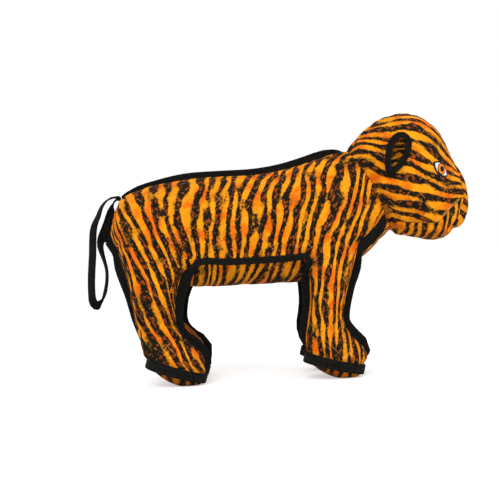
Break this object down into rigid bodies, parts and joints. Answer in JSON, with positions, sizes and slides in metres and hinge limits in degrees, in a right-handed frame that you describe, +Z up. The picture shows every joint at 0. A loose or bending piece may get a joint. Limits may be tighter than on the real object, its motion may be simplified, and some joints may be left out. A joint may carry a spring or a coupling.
{
  "type": "plush tiger",
  "caption": "Stuffed toy tiger standing on padded feet, with bound seams, cupped ears and a webbing loop as its tail.",
  "frame": {"origin": "centre of the bounding box on the floor that the feet stand on", "axes": "+X from the tail to the nose, +Y to the toy's left, +Z up"},
  "size_m": [0.409, 0.1476, 0.2736],
  "materials": {
    "plush": "short pile plush, orange with near-black stripes, quilted",
    "binding": "matt woven binding tape",
    "webbing": "matt woven webbing",
    "eye_white": "flat stitched patch",
    "iris": "flat stitched patch"
  },
  "bodies": {
    "toy": {"torso": "plush", "head": "plush", "chin": "plush", "front_leg_right": "plush", "front_leg_left": "plush", "hind_leg_right": "plush", "hind_leg_left": "plush", "front_sole_right": "plush", "front_sole_left": "plush", "hind_sole_right": "plush", "hind_sole_left": "plush", "front_foot_binding_right": "binding", "front_foot_binding_left": "binding", "hind_foot_binding_right": "binding", "hind_foot_binding_left": "binding", "spine_binding": "binding", "rump_binding": "binding", "rear_binding_right": "binding", "rear_binding_left": "binding", "belly_binding_right": "binding", "belly_binding_left": "binding", "chest_binding_right": "binding", "chest_binding_left": "binding", "eye_right": "eye_white", "eye_left": "eye_white", "iris_right": "iris", "iris_left": "iris"},
    "right_ear": {"ear_right": "plush", "ear_binding_right": "binding"},
    "left_ear": {"ear_left": "plush", "ear_binding_left": "binding"},
    "tail": {"tail_loop": "webbing"}
  },
  "joints": [
    {"name": "right_ear_fold", "type": "hinge", "parent": "toy", "child": "right_ear", "pos_m": [0.114, -0.0617, 0.2045], "axis": [0.8606, 0.4351, -0.2647], "range_deg": [0, 40], "stiffness_Nm_per_rad": 0.02},
    {"name": "left_ear_fold", "type": "hinge", "parent": "toy", "child": "left_ear", "pos_m": [0.114, 0.0617, 0.2045], "axis": [-0.8606, 0.4351, 0.2647], "range_deg": [0, 40], "stiffness_Nm_per_rad": 0.02},
    {"name": "tail_swing", "type": "hinge", "parent": "toy", "child": "tail", "pos_m": [-0.1685, 0, 0.1979], "axis": [0, 1, 0], "range_deg": [0, 80], "stiffness_Nm_per_rad": 0.006}
  ]
}
